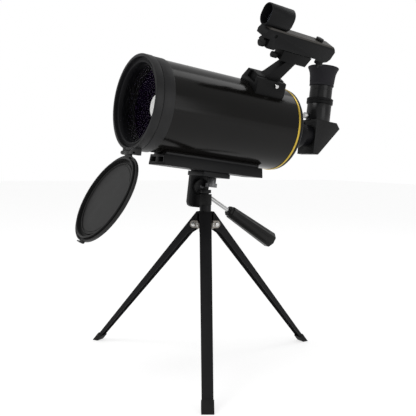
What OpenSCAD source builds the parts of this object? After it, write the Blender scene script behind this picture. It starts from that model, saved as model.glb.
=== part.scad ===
// Compact Maksutov-Cassegrain telescope on a folding tabletop tripod.
// The row frame stands on the floor: +Z up, the tube points along -Y, the finder is on +X.

/* [Optical tube] */
// Outer radius of the optical tube
tube_r = 56; // [55.5:0.1:56.5]
// Wall of the optical tube
tube_wall = 1.5; // [1.2:0.1:1.5]
// Outer radius of the front ring
ring_r = 57.7; // [57.5:0.1:58.2]
// Length from the tripod's pan axis to the front face of the ring
front_reach = 105; // [104.5:0.5:106]
// Length from the pan axis to the rear face of the rear cell
rear_reach = 116.6; // [116.2:0.2:117.4]
// Radius of the clear front aperture
aperture_r = 46; // [45:0.5:46.5]
// Height of the tube axis above the floor, at the pan axis
axis_height = 318.6; // [318:0.2:320]
// Angle by which the tube points above the horizon
tube_tilt = 6.2; // [5:0.1:7]
// Angle of the front cap from closed to its open stop
cap_open = 156; // [150:1:158]

/* [Rail and head] */
// Distance from the tube axis down to the bottom of the dovetail rail
rail_drop = 70.2; // [70:0.1:70.6]
// Width of the rail at its bottom
rail_width = 41.8; // [40:0.2:43]
// Width of the rail at its top
rail_top_width = 36.9; // [36:0.1:38]
// Length of the grip of the pan handle
grip_length = 88; // [80:1:90]
// Angle of the handle below the tube axis
handle_drop = 24.9; // [24:0.1:26]

/* [Diagonal and eyepiece] */
// Distance from the pan axis back to the axis of the eyepiece
eyepiece_reach = 190; // [189.5:0.5:191]
// Diameter of the push-fit eyepiece barrel
barrel_d = 31.75; // [31.7:0.05:31.8]
// Height of the eyecup's rim above the tube axis
eyecup_top = 101.4; // [100:0.2:103]

/* [Finder] */
// Angle of the finder from the top of the tube towards +X
finder_clock = 33; // [31:0.5:36]
// Distance from the tube axis to the underside of the finder body
finder_base = 111.2; // [111.1:0.1:111.6]

/* [Tripod] */
// Radius of the circle on which the three feet stand, at the middle of each leg
foot_circle_r = 165.1; // [164:0.1:167]
// Height of the leg pivots above the floor
leg_pivot_height = 179.5; // [179:0.1:180]
// Distance of each leg pivot from the pan axis
leg_pivot_r = 12.2; // [12:0.1:12.6]
// Direction of the front leg, anticlockwise from +X
first_leg_azimuth = -30.8; // [-33:0.1:-29]

/* [Hidden] */

$fn = 64;
fit_gap = 0.05;
tube_inner_r = tube_r - tube_wall;

// Places on the optical tube, measured back from the pan axis along the tube
ring_front = -front_reach;
tube_start = ring_front + 7;
lens_front = ring_front + 14;
lens_edge = 9.5;
ring_back = ring_front + 25;
gold_start = rear_reach - 9.6;
gold_length = 3;
cell_back = rear_reach;

// The pan axis stands here, so that the origin is under the middle of the whole model
pan_axis = [1.2, -24.5];

// Tripod: the leg leans out from its pivot to its foot
leg_spread = atan2(foot_circle_r - leg_pivot_r, leg_pivot_height);
leg_azimuths = [first_leg_azimuth, first_leg_azimuth + 120, first_leg_azimuth + 240];
leg_top = 15;
leg_end = -236;
leg_web = 8.4;
leg_half_top = 7.7;
leg_half_end = 6.2;
leg_sheet = 1.2;
leg_lip_end = 4;
rivet_r = 2.4;
post_r = 7.5;
post_low = 169.5;
post_top = 204.5;

// Head: where the tilt bolt and the camera screw lie, in the tube's frame
rail_front = -65.2;
rail_back = 84.3;
rail_height = 13;
rail_screw_places = [rail_front + 20, rail_back - 20];
tilt_back = 9.84;
tilt_drop = 90.6;
screw_back = 18;
cheek_outer = -22;
cheek_inner = -15;
plate_thickness = 5.8;
pad_thickness = 1;
plate_top = -rail_drop - pad_thickness;
plate_bottom = plate_top - plate_thickness;
spindle_r = 4.5;
handle_below = 3.3;
bolt_r = 3;
barrel_half = 10.5;
screw_r = 3.1;

// Cap and its hinge, in the tube's frame
hinge_back = ring_front;
hinge_drop = 60.5;
pin_r = 1.25;
knuckle_r = 2.5;
lug_gap = 8;
lug_width = 8;
cap_seat = -1;
cap_depth = 4.2;

// Focuser and main mirror
shaft_x = -31;
shaft_z = -14;
shaft_r = 2.5;
mirror_front = 76;
mirror_back = 86;
mirror_r = 47;
baffle_r = 11.2;
baffle_bore_r = 10;
sleeve_r = 14;
mirror_curve_r = 520;
lens_curve_front_r = 105;
lens_curve_back_r = 110;
mirror_spot_r = 14.5;

// Visual back, diagonal and eyepiece
barrel_r = barrel_d / 2;
port_r = barrel_r + fit_gap;
lock_tip = port_r + 1.2;
port_end = 142;
port_screw_back = 131;
port_screw_turn = -40;
nose_flange = port_end + 0.3;
nose_neck = 158;
housing_front = eyepiece_reach - 17;
housing_half = 17;
housing_top = 23.3;
prism_half = 14.5;
light_path_r = 13;
holder_top = 47.9;
collar_top = 55.8;
holder_screw_turn = -12;
holder_screw_z = 29;

// Finder, in its own frame: X across, Y back, Z away from the tube axis
shoe_start = 38;
shoe_end = 83;
shoe_floor = 62;
shoe_top = 71;
groove_low = 10.2;
groove_high = 8.2;
stem_top = 97;
block_start = 60;
block_end = 106;
block_low = stem_top + 0.3;
block_high = 110.2;
swivel_y = 80;
tip_y = 67;
tip_z = 105.5;
tip_pin_r = 1.5;
swivel_pin_r = 2.95;
adjuster_r = 1.2;
block_half = 9;
body_half = 10;
body_front = 22;
chin_front = 32;
lid_r = 6.4;
body_back = 136;
body_top = 130.5;
cover_top = 132.6;
sight_half = 11;
sight_height = 27;
sight_wall = 1.6;
sight_z = 144.6;
sight_start = 18;
sight_end = 53;
clamp_y = 67.5;
clamp_z = 66.5;
clamp_seat = 15.6;
altitude_y = 127;
switch_y = 111;
battery_z = 111.8;
chin_z = 107.5;
azimuth_z = 99.9;

// ---- frames ----

// Tube frame: origin on the tube axis over the pan axis, Y back along the tube
module in_tube() {
    translate([pan_axis[0], pan_axis[1], axis_height]) rotate([-tube_tilt, 0, 0]) children();
}

// Tripod frame: origin on the floor under the pan axis
module in_stand() {
    translate([pan_axis[0], pan_axis[1], 0]) children();
}

// Leg frame: origin at the leg's pivot, -Z down the leg, +X on its outer side
module in_leg(index) {
    in_stand()
        rotate([0, 0, leg_azimuths[index]])
            translate([leg_pivot_r, 0, leg_pivot_height])
                rotate([0, -leg_spread, 0]) children();
}

// Cap frame: origin on the hinge axis, Z from the hinge to the middle of the cap
module in_cap() {
    in_tube() translate([0, hinge_back, -hinge_drop]) rotate([cap_open, 0, 0]) children();
}

// Finder frame: turned about the tube axis
module in_finder() {
    in_tube() rotate([0, finder_clock, 0]) children();
}

// Handle frame: origin just below the tilt bolt, Y out along the handle
module in_handle() {
    in_tube()
        translate([(cheek_outer + cheek_inner) / 2, tilt_back, -tilt_drop - handle_below])
            rotate([-handle_drop, 0, 0]) children();
}

// ---- shapes that repeat ----

// A profile of [radius, distance back] points turned about the Y axis
module turned(profile) {
    rotate([-90, 0, 0]) rotate_extrude() polygon(profile);
}

// A round bar along Y from one place to another
module bar_y(from, to, r) {
    translate([0, from, 0]) rotate([-90, 0, 0]) cylinder(h = to - from, r = r);
}

// A round bar along X from one place to another
module bar_x(from, to, r) {
    translate([from, 0, 0]) rotate([0, 90, 0]) cylinder(h = to - from, r = r);
}

// A YZ outline made a plate from one X to another
module plate_x(from, to, outline) {
    translate([from, 0, 0]) rotate([90, 0, 90]) linear_extrude(to - from) polygon(outline);
}

// An XZ outline made a plate from one Y to another
module plate_y(from, to, outline) {
    translate([0, to, 0]) rotate([90, 0, 0]) linear_extrude(to - from) polygon(outline);
}

// A toothed round bar along Z, for knobs with ribs
module ribbed_bar(h, r, teeth, depth) {
    difference() {
        cylinder(h = h, r = r);
        for (tooth = [0 : teeth - 1])
            rotate([0, 0, tooth * 360 / teeth])
                translate([r, 0, -1]) cylinder(h = h + 2, r = depth, $fn = 8);
    }
}

// Radius-to-depth of a shallow dish of a given curvature
function dish(curve_r, r) = curve_r - sqrt(curve_r * curve_r - r * r);

// Points of a dish from one radius to another, bulging back at the middle
function dish_points(curve_r, rim_r, rim_y, from_r, to_r, steps) =
    [for (step = [0 : steps])
        let (r = from_r + (to_r - from_r) * step / steps)
            [r, rim_y + dish(curve_r, rim_r) - dish(curve_r, r)]];

// ---- optical tube ----

module front_ring() {
    lug_x = [-lug_gap - lug_width, lug_gap];
    color("dimgray") in_tube() difference() {
        union() {
            turned([[54.2, ring_front], [ring_r - 0.7, ring_front], [ring_r, ring_front + 0.8],
                [ring_r, ring_front + 9.5], [ring_r - 0.6, ring_front + 10.3], [ring_r - 0.6, ring_back],
                [tube_r, ring_back], [tube_r, tube_start], [tube_inner_r, tube_start],
                [tube_inner_r, lens_front + 12], [46.6, lens_front + 12], [46.6, lens_front + lens_edge],
                [50.2, lens_front + lens_edge], [50.2, ring_front + 5], [54.2, ring_front + 5]]);
            for (x = lug_x) {
                translate([0, hinge_back, -hinge_drop]) bar_x(x, x + lug_width, knuckle_r);
                difference() {
                    translate([x, hinge_back, -hinge_drop - knuckle_r])
                        cube([lug_width, 10, knuckle_r + 6.5]);
                    bar_y(ring_front - 1, ring_back, ring_r - 0.7);
                }
            }
        }
        translate([0, hinge_back, -hinge_drop]) bar_x(-20, 20, pin_r);
    }
}

module corrector_retainer() {
    color("#202020") in_tube()
        turned([[aperture_r, lens_front], [aperture_r, lens_front - 6], [48, ring_front + 3.5],
            [54.2, ring_front + 3.5], [54.2, ring_front + 5], [50.2, ring_front + 5], [50.2, lens_front]]);
}

module corrector_lens() {
    glass_r = 50.2;
    seat_r = 46.6;
    color("#2a3a44") in_tube()
        turned(concat(
            dish_points(lens_curve_front_r, aperture_r, lens_front, 0, aperture_r, 14),
            [[glass_r, lens_front], [glass_r, lens_front + lens_edge]],
            dish_points(lens_curve_back_r, seat_r, lens_front + lens_edge, seat_r, 0, 14)));
}

module secondary_mirror() {
    start = lens_front + lens_edge + fit_gap;
    thickness = 0.3;
    color("silver") in_tube()
        turned(concat(
            dish_points(lens_curve_back_r, 46.6, start, 0, mirror_spot_r, 5),
            dish_points(lens_curve_back_r, 46.6, start + thickness, mirror_spot_r, 0, 5)));
}

module secondary_baffle() {
    start = lens_front + 18.75;
    color("#1a1a1a") in_tube()
        turned([[15.2, start], [16.4, start], [18.4, start + 15], [17.4, start + 15]]);
}

module optical_tube() {
    color("#101010") in_tube() difference() {
        bar_y(tube_start, gold_start, tube_r);
        bar_y(tube_start - 1, gold_start + 1, tube_inner_r);
    }
}

module gold_ring() {
    color("goldenrod") in_tube()
        turned([[tube_inner_r, gold_start], [tube_r + 0.3, gold_start], [tube_r + 0.6, gold_start + 0.4],
            [tube_r + 0.6, gold_start + gold_length - 0.4], [tube_r + 0.3, gold_start + gold_length],
            [tube_inner_r, gold_start + gold_length]]);
}

module rear_cell() {
    plate_start = gold_start + gold_length;
    color("#1c1c1c") in_tube() difference() {
        turned([[18, plate_start], [tube_r - 0.2, plate_start], [tube_r - 0.2, cell_back - 2.2],
            [tube_r - 2, cell_back], [18, cell_back]]);
        translate([shaft_x, 0, shaft_z]) bar_y(plate_start - 1, cell_back + 1, shaft_r + fit_gap);
    }
    color("#1c1c1c") in_tube()
        turned([[52.5, gold_start - 9], [tube_inner_r, gold_start - 9], [tube_inner_r, plate_start],
            [52.5, plate_start]]);
}

module baffle_tube() {
    flange = 106.6;
    color("#1a1a1a") in_tube()
        turned([[baffle_bore_r, -20], [baffle_r, -20], [baffle_r, flange], [17.9, flange],
            [17.9, gold_start + gold_length], [baffle_bore_r, gold_start + gold_length]]);
}

module visual_back() {
    color("#1c1c1c") in_tube() difference() {
        turned([[14, gold_start + gold_length + 0.1], [18, gold_start + gold_length + 0.1], [18, cell_back],
            [19.5, cell_back], [19.5, port_end - 0.8], [18.7, port_end], [port_r, port_end],
            [port_r, cell_back + 4], [14, cell_back + 4]]);
        translate([0, port_screw_back, 0]) rotate([0, port_screw_turn, 0]) cylinder(h = 30, r = 2.05);
    }
}

module visual_back_screw() {
    color("silver") in_tube() translate([0, port_screw_back, 0]) rotate([0, port_screw_turn, 0]) {
        translate([0, 0, lock_tip]) cylinder(h = 4.2, r = 2);
        translate([0, 0, barrel_r + 5.2]) ribbed_bar(7, 4, 16, 0.35);
    }
}

module front_cap() {
    rim_r = 57.5;
    lip_r = 53.8;
    cap_front = cap_seat - cap_depth;
    latch = hinge_drop + rim_r + 0.7;
    tab_half = lug_gap - 0.3;
    color("#303030") in_cap() {
        translate([0, 0, hinge_drop])
            turned([[0, cap_front], [rim_r - 1.2, cap_front], [rim_r, cap_front + 1.2], [rim_r, cap_seat],
                [rim_r - 2, cap_seat], [rim_r - 2, cap_front + 2.4], [lip_r, cap_front + 2.4],
                [lip_r, cap_seat + 2], [lip_r - 2.2, cap_seat + 2], [lip_r - 2.2, cap_front + 2],
                [0, cap_front + 2]]);
        difference() {
            union() {
                bar_x(-tab_half, tab_half, knuckle_r);
                plate_x(-tab_half, tab_half, [[cap_front + 0.4, 8], [cap_front + 0.4, 2.5], [-2, -1.4],
                    [0, 0], [-1, 1.6], [cap_seat - 0.1, 2.2], [cap_seat - 0.1, 8]]);
            }
            bar_x(-tab_half - 1, tab_half + 1, pin_r + fit_gap);
        }
        plate_x(-4.5, 4.5, [[cap_front + 1, latch - 1.7], [cap_seat, latch - 1.7], [cap_seat, latch],
            [cap_seat + 3, latch], [cap_seat + 3, latch + 1.4], [cap_front + 2, latch + 1.9]]);
    }
}

module cap_hinge_pin() {
    color("silver") in_tube() translate([0, hinge_back, -hinge_drop])
        bar_x(-lug_gap - lug_width, lug_gap + lug_width, pin_r);
}

module tube_saddle() {
    color("#181818") in_tube() difference() {
        translate([-16, rail_front + 3.2, -rail_drop + rail_height])
            cube([32, rail_back - rail_front - 7.5, 7]);
        translate([0, rail_front, 0])
            rotate([-90, 0, 0]) cylinder(h = rail_back - rail_front, r = tube_r, $fn = 256);
    }
}

module dovetail_rail() {
    low = -rail_drop;
    high = -rail_drop + rail_height;
    half_low = rail_width / 2;
    half_high = rail_top_width / 2;
    color("#222222") in_tube() difference() {
        translate([0, rail_back, 0]) rotate([90, 0, 0]) linear_extrude(rail_back - rail_front)
            polygon([[-half_low, low], [half_low, low], [half_low, low + 2], [half_high, high],
                [-half_high, high], [-half_low, low + 2]]);
        for (side = [-1, 1])
            translate([side * 9.5 - 6, rail_front - 1, low + 4]) cube([12, rail_back - rail_front + 2, 6]);
        translate([0, screw_back, low - 1]) cylinder(h = 10, r = screw_r + 0.1);
        for (y = rail_screw_places) {
            translate([0, y, low - 1]) cylinder(h = 15, r = 2.1);
            translate([0, y, low - 1]) cylinder(h = 4.2, r = 4);
        }
    }
}

module rail_screws() {
    color("silver") in_tube()
        for (y = rail_screw_places)
            translate([0, y, 0]) difference() {
                union() {
                    translate([0, 0, -rail_drop + 0.2]) cylinder(h = 3, r = 3.8);
                    translate([0, 0, -rail_drop + 3.2]) cylinder(h = rail_height - 3.2, r = 2);
                }
                translate([0, 0, -rail_drop]) cylinder(h = 2, r = 1.7, $fn = 6);
            }
}

// ---- main mirror and focuser ----

module primary_mirror() {
    hole_r = sleeve_r + 0.05;
    color("lightsteelblue") in_tube()
        turned(concat([[hole_r, mirror_back], [hole_r, mirror_front + 4]],
            [for (step = [0 : 10])
                let (r = hole_r + (mirror_r - hole_r) * step / 10)
                    [r, mirror_front + dish(mirror_curve_r, mirror_r) - dish(mirror_curve_r, r)]],
            [[mirror_r, mirror_back]]));
}

module mirror_carrier() {
    boss_end = mirror_back + 13;
    color("#555555") in_tube() difference() {
        union() {
            turned([[baffle_r + fit_gap, mirror_front - 8], [sleeve_r, mirror_front - 8],
                [sleeve_r, mirror_back], [mirror_r - 1, mirror_back], [mirror_r - 1, mirror_back + 3],
                [baffle_r + fit_gap, mirror_back + 3]]);
            translate([shaft_x, 0, shaft_z]) bar_y(mirror_back + 2, boss_end, 5);
        }
        translate([shaft_x, 0, shaft_z]) bar_y(mirror_back - 1, boss_end + 1, shaft_r + 0.06);
    }
}

module focus_shaft() {
    color("silver") in_tube() translate([shaft_x, 0, shaft_z])
        bar_y(mirror_back + 5, cell_back + 10, shaft_r);
}

module focus_knob() {
    start = cell_back + 1.4;
    color("#181818") in_tube() translate([shaft_x, start, shaft_z]) rotate([-90, 0, 0]) difference() {
        union() {
            ribbed_bar(17, 11, 24, 0.6);
            cylinder(h = 18.5, r = 9.4);
        }
        translate([0, 0, -1]) cylinder(h = cell_back + 10 - start + 1, r = shaft_r);
    }
}

// ---- diagonal and eyepiece ----

module diagonal_nose() {
    color("#1c1c1c") in_tube()
        turned([[light_path_r, cell_back + 4.4], [barrel_r, cell_back + 4.4], [barrel_r, nose_flange],
            [19.5, nose_flange], [19.5, nose_neck - 0.8], [18.7, nose_neck], [15, nose_neck],
            [15, housing_front], [light_path_r, housing_front]]);
}

// Side outline of the diagonal: square front, 45 degree back
function diagonal_outline(front, top) = [[front, top], [eyepiece_reach + 22, top],
    [eyepiece_reach + 29, top - 7.5], [eyepiece_reach - 7, -25.5], [eyepiece_reach - 8, -26.2],
    [front, -26.2]];

module diagonal_housing() {
    color("#262626") in_tube() difference() {
        plate_x(2 - housing_half, housing_half, diagonal_outline(housing_front, housing_top));
        translate([0, eyepiece_reach, 0])
            plate_x(1 - housing_half, housing_half - 3, [[-prism_half - 0.6, prism_half + 0.6],
                [prism_half + 2, prism_half + 0.6], [-prism_half - 0.6, -prism_half - 2]]);
        bar_y(housing_front - 1, eyepiece_reach - prism_half, light_path_r);
        translate([0, eyepiece_reach, prism_half]) cylinder(h = 12, r = light_path_r);
    }
}

module diagonal_cover() {
    color("#262626") in_tube()
        plate_x(-housing_half, 2 - housing_half, diagonal_outline(housing_front, housing_top));
}

module diagonal_prism() {
    color("lightcyan") in_tube() translate([0, eyepiece_reach, 0])
        plate_x(2 - housing_half, housing_half - 3, [[-prism_half, prism_half], [prism_half, prism_half],
            [-prism_half, -prism_half]]);
}

module eyepiece_holder() {
    color("#202020") in_tube() translate([0, eyepiece_reach, 0]) difference() {
        translate([0, 0, housing_top]) cylinder(h = holder_top - housing_top, r = 17.3);
        translate([0, 0, housing_top + 2]) cylinder(h = 30, r = port_r);
        translate([0, 0, housing_top - 1]) cylinder(h = 10, r = light_path_r);
        translate([0, 0, holder_screw_z]) rotate([90, 0, holder_screw_turn]) cylinder(h = 30, r = 2.05);
    }
}

module holder_collar() {
    color("#262626") in_tube() translate([0, eyepiece_reach, 0]) difference() {
        union() {
            translate([0, 0, holder_top]) cylinder(h = 3.8, r = 18.9);
            translate([0, 0, holder_top + 3.8]) cylinder(h = 0.6, r = 18.4);
            translate([0, 0, holder_top + 4.4]) cylinder(h = collar_top - holder_top - 4.4, r = 18.9);
        }
        translate([0, 0, holder_top - 1]) cylinder(h = 20, r = port_r);
    }
}

module holder_screw() {
    color("silver") in_tube() translate([0, eyepiece_reach, holder_screw_z])
        rotate([90, 0, holder_screw_turn]) {
            translate([0, 0, lock_tip - 0.4]) cylinder(h = 1.6, r = 2);
            translate([0, 0, 18]) ribbed_bar(5.4, 4.4, 18, 0.35);
        }
}

module eyepiece_barrel() {
    color("gainsboro") in_tube() translate([0, eyepiece_reach, 0]) difference() {
        translate([0, 0, 32]) cylinder(h = collar_top + 0.2 - 32, r = barrel_r);
        translate([0, 0, 31]) cylinder(h = 40, r = 14);
    }
}

module eyepiece_body() {
    body_r = 16.1;
    base = collar_top + 0.2;
    color("#1e1e1e") in_tube() translate([0, eyepiece_reach, 0]) difference() {
        union() {
            translate([0, 0, base]) cylinder(h = 18, r = body_r);
            translate([0, 0, base + 18]) cylinder(h = 19, r = 14.6);
        }
        translate([0, 0, base - 1]) cylinder(h = 60, r = 12);
    }
}

module eyecup() {
    bottom = collar_top + 18.3;
    color("#1a1a1a") in_tube() translate([0, eyepiece_reach, 0]) rotate_extrude()
        polygon([[14.6, bottom], [17.2, bottom], [17.5, bottom + 2.6], [17.2, bottom + 2.9],
            [18.6, eyecup_top - 14], [19.6, eyecup_top - 8], [22.2, eyecup_top - 1.6],
            [22.2, eyecup_top - 0.4],
            [21.2, eyecup_top], [18.2, eyecup_top - 6], [15.8, eyecup_top - 9], [14.6, eyecup_top - 9.2]]);
}

module eyepiece_lenses() {
    base = collar_top + 0.2;
    color("#40506a") in_tube() translate([0, eyepiece_reach, 0]) {
        translate([0, 0, base + 4]) cylinder(h = 5, r = 12);
        translate([0, 0, base + 27]) cylinder(h = 7, r = 12);
    }
}

// ---- finder ----

// The dovetail section shared by the shoe's groove and the bracket's foot
module foot_section(from, to, gap) {
    translate([0, to, 0]) rotate([90, 0, 0]) linear_extrude(to - from)
        polygon([[-groove_low + gap, shoe_floor + gap], [groove_low - gap, shoe_floor + gap],
            [groove_high - gap, shoe_top], [groove_high - gap, shoe_top + 1],
            [-groove_high + gap, shoe_top + 1], [-groove_high + gap, shoe_top]]);
}

module finder_shoe() {
    outer_low = 20.5;
    outer_high = 14.2;
    color("#262626") in_finder() difference() {
        translate([0, shoe_end, 0]) rotate([90, 0, 0]) linear_extrude(shoe_end - shoe_start)
            polygon([[-outer_low, 52], [outer_low, 52], [outer_low, 57], [outer_high, shoe_top],
                [-outer_high, shoe_top], [-outer_low, 57]]);
        bar_y(shoe_start - 1, shoe_end + 1, tube_r);
        foot_section(shoe_start - 1, shoe_end + 1, 0);
        translate([0, clamp_y, clamp_z]) bar_x(0, 30, 1.5 + fit_gap);
        translate([0, clamp_y, clamp_z]) bar_x(clamp_seat, 30, 3);
    }
}

module shoe_clamp_screw() {
    color("silver") in_finder() translate([0, clamp_y, clamp_z]) {
        bar_x(groove_low - 0.5, clamp_seat + 0.2, 1.5);
        translate([clamp_seat + 0.1, 0, 0]) rotate([0, 90, 0]) cylinder(h = 3.2, r1 = 2.8, r2 = 2.3);
    }
}

module finder_bracket() {
    color("#1e1e1e") in_finder() {
        foot_section(shoe_start + 3, shoe_end - 1, fit_gap);
        plate_x(-6.5, 6.5, [[52, shoe_top + 1], [76, shoe_top + 1], [88, stem_top], [73, stem_top],
            [56, shoe_top + 5]]);
        translate([0, swivel_y, stem_top - 1]) cylinder(h = 8, r = swivel_pin_r);
    }
}

module finder_block() {
    slot_half = 4;
    color("#242424") in_finder() {
        difference() {
            plate_x(-block_half, block_half, [[block_start, block_low + 1], [block_start + 1, block_low],
                [block_end - 4, block_low], [block_end, block_high], [block_start, block_high]]);
            translate([0, swivel_y, 0]) cylinder(h = stem_top + 7.4, r = swivel_pin_r + fit_gap);
            translate([-slot_half, tip_y - 6, azimuth_z + 1.9]) cube([2 * slot_half, 12, 20]);
            translate([0, 0, azimuth_z]) bar_y(block_start - 1, block_start + 9, adjuster_r + fit_gap);
        }
        translate([0, tip_y, tip_z]) bar_x(-slot_half - 1, slot_half + 1, tip_pin_r);
    }
}

module finder_body() {
    tongue = [[tip_y - 4.5, tip_z - 3], [tip_y + 4.5, tip_z - 3], [tip_y + 4.5, finder_base + 3],
        [tip_y - 4.5, finder_base + 3]];
    color("#2a2a2a") in_finder() difference() {
        union() {
            plate_x(-body_half, body_half, [[body_front, 124], [body_front + 0.6, 119.2], [chin_front, 119],
                [chin_front, chin_z], [chin_front + 12, chin_z], [chin_front + 15, finder_base],
                [body_back - 25, finder_base], [body_back - 21, finder_base - 1.4],
                [body_back - 10, finder_base - 1.4], [body_back - 5, finder_base + 0.4],
                [body_back - 1.6, finder_base + 5], [body_back, body_top - 4], [body_back - 3, body_top],
                [body_front + 3, body_top]]);
            plate_x(-3.6, 3.6, tongue);
        }
        translate([0, 38, 124.5]) bar_x(body_half - 1.6, body_half + 1, 2.2);
        translate([0, tip_y, tip_z]) bar_x(-5, 5, tip_pin_r + fit_gap);
        translate([0, 0, battery_z]) bar_y(body_front, chin_front + 14, 3.5 + fit_gap);
        translate([0, altitude_y, finder_base - 3]) cylinder(h = 8, r = 1.55);
    }
}

module finder_cover() {
    color("#8a8a86") in_finder() difference() {
        plate_x(-body_half + 0.6, body_half - 0.6, [[body_front + 3, body_top], [body_back - 3, body_top],
            [body_back - 5, cover_top - 0.4], [body_back - 9, cover_top], [body_front + 5, cover_top]]);
        translate([0, switch_y, body_top - 1]) cylinder(h = 10, r = adjuster_r + fit_gap);
    }
}

// Flat-sided round outline of the sight tube
module sight_outline(inset) {
    half = sight_half - inset;
    rise = sight_height / 2 - sight_half;
    translate([0, rise]) circle(r = half);
    translate([0, -rise]) circle(r = half);
    translate([-half, -rise]) square([2 * half, 2 * rise]);
}

module sight_tube() {
    color("#242424") in_finder() difference() {
        translate([0, sight_end, sight_z]) rotate([90, 0, 0]) linear_extrude(sight_end - sight_start)
            sight_outline(0);
        translate([0, sight_end + 1, sight_z]) rotate([90, 0, 0]) linear_extrude(sight_end - sight_start + 2)
            sight_outline(sight_wall);
        translate([-20, body_front + 3, 120]) cube([40, 60, cover_top - 120]);
    }
}

module sight_window() {
    window_y = sight_start + 8;
    color("#5a6a80") in_finder() intersection() {
        translate([0, sight_end, sight_z]) rotate([90, 0, 0]) linear_extrude(sight_end - sight_start)
            sight_outline(sight_wall);
        translate([-12, window_y, sight_z - 20]) rotate([-12, 0, 0]) cube([24, 1.6, 40]);
    }
}

module finder_switch() {
    color("#2e2e2e") in_finder() translate([0, switch_y, cover_top + 0.2]) {
        ribbed_bar(3.4, 5.2, 14, 0.4);
        translate([0, 0, body_top - cover_top]) cylinder(h = 2.5, r = adjuster_r);
    }
}

module azimuth_knob() {
    color("#2e2e2e") in_finder() translate([0, 0, azimuth_z]) {
        translate([0, block_start - 9, 0]) rotate([-90, 0, 0]) ribbed_bar(7.6, 3.9, 14, 0.35);
        bar_y(block_start - 2, block_start + 8, adjuster_r);
    }
}

module altitude_knob() {
    color("#2e2e2e") in_finder() translate([0, altitude_y, 0]) {
        translate([0, 0, finder_base - 7.6]) ribbed_bar(5.6, 5.6, 16, 0.4);
        translate([0, 0, finder_base - 11.6]) cylinder(h = 4, r = 2.4);
        translate([0, 0, finder_base - 2]) cylinder(h = 5.6, r = 1.5);
    }
}

module battery_cap() {
    color("#2e2e2e") in_finder() translate([0, 0, battery_z]) {
        difference() {
            bar_y(chin_front - 5.2, chin_front - 0.4, lid_r);
            translate([-lid_r - 1, chin_front - 6, -0.7]) cube([2 * lid_r + 2, 1.8, 1.4]);
        }
        bar_y(chin_front - 1, chin_front + 12, 3.5);
    }
}

// ---- head ----

module head_platform() {
    low = -tilt_drop - 27.4;
    reach = 13.8;
    color("#2a2a2a") in_tube() difference() {
        union() {
            translate([cheek_outer, -6, plate_bottom]) cube([-cheek_outer + 17.5, 40, plate_thickness]);
            plate_x(cheek_outer, cheek_inner, [[tilt_back - reach, plate_bottom + 1],
                [tilt_back + reach, plate_bottom + 1], [tilt_back + reach, low + 6],
                [tilt_back + reach - 6, low], [tilt_back - reach + 6, low],
                [tilt_back - reach + 1.8, low + 1.8],
                [tilt_back - reach, low + 6]]);
        }
        translate([0, tilt_back, -tilt_drop]) bar_x(cheek_outer - 1, cheek_inner + 1, bolt_r);
        translate([0, screw_back, plate_bottom - 1]) cylinder(h = 10, r = screw_r + 0.2);
        translate([(cheek_outer + cheek_inner) / 2, tilt_back, -tilt_drop - handle_below])
            rotate([-handle_drop, 0, 0]) bar_y(8, 40, 2.85);
    }
}

module platform_pad() {
    color("#141414") in_tube() difference() {
        translate([-17, -5, plate_top]) cube([33.5, 38, pad_thickness]);
        translate([0, screw_back, plate_top - 1]) cylinder(h = 5, r = screw_r + 0.2);
    }
}

module tilt_bolt() {
    color("silver") in_tube() translate([0, tilt_back, -tilt_drop]) difference() {
        union() {
            bar_x(cheek_outer - 3, cheek_outer, 5);
            bar_x(cheek_outer - 1, -8.7, bolt_r);
        }
        translate([cheek_outer - 4, 0, 0]) rotate([0, 90, 0]) cylinder(h = 3, r = 2.3, $fn = 6);
    }
}

module camera_screw() {
    wheel_top = plate_bottom - 0.3;
    color("silver") in_tube() translate([0, screw_back, 0]) {
        translate([0, 0, wheel_top - 1]) cylinder(h = 15, r = screw_r);
        translate([0, 0, wheel_top - 7.4]) ribbed_bar(7.4, 5.7, 20, 0.4);
        translate([0, 0, wheel_top - 12.6]) ribbed_bar(5.2, 7.6, 28, 0.35);
    }
}

module handle_rod() {
    color("silver") in_handle() bar_y(9, 66, 2.8);
}

module handle_grip() {
    start = 58;
    facets = 8;
    color("#202020") in_handle() difference() {
        union() {
            translate([0, start + 4, 0]) rotate([-90, 22.5, 0])
                cylinder(h = grip_length - 5, r1 = 8.8, r2 = 11.8, $fn = facets);
            bar_y(start, start + 5, 7.6);
            bar_y(start + grip_length - 2, start + grip_length, 10);
        }
        bar_y(start - 1, start + 9, 2.8);
    }
}

module pan_head() {
    block_top = 224;
    low = 219.8;
    pivot_z = axis_height - tilt_drop * cos(tube_tilt) - tilt_back * sin(tube_tilt);
    pivot_y = tilt_back * cos(tube_tilt) - tilt_drop * sin(tube_tilt);
    color("#303030") in_stand() difference() {
        union() {
            translate([0, 0, low]) cylinder(h = block_top - low, r = 7.2);
            translate([-13, -6, low]) cube([13, 12, block_top - low]);
            translate([0, pivot_y, pivot_z]) bar_x(cheek_inner + 0.3, -8.4, barrel_half);
        }
        translate([0, 0, low - 1]) cylinder(h = 20, r = spindle_r + fit_gap);
        translate([0, pivot_y, pivot_z]) bar_x(cheek_inner - 1, 0, bolt_r + fit_gap);
    }
}

module pan_collar() {
    color("#262626") in_stand() translate([0, 0, post_top + 0.3]) difference() {
        ribbed_bar(13.6, 8, 30, 0.4);
        translate([0, 0, -1]) cylinder(h = 20, r = spindle_r + fit_gap);
    }
}

// ---- tripod ----

module centre_post() {
    color("#2a2a2a") in_stand() {
        translate([0, 0, post_low]) cylinder(h = post_top - post_low, r = post_r);
        translate([0, 0, post_top]) cylinder(h = 19.3, r = spindle_r);
        translate([0, 0, post_low - 4]) cylinder(h = 4, r = 6.2, $fn = 6);
    }
}

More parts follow.
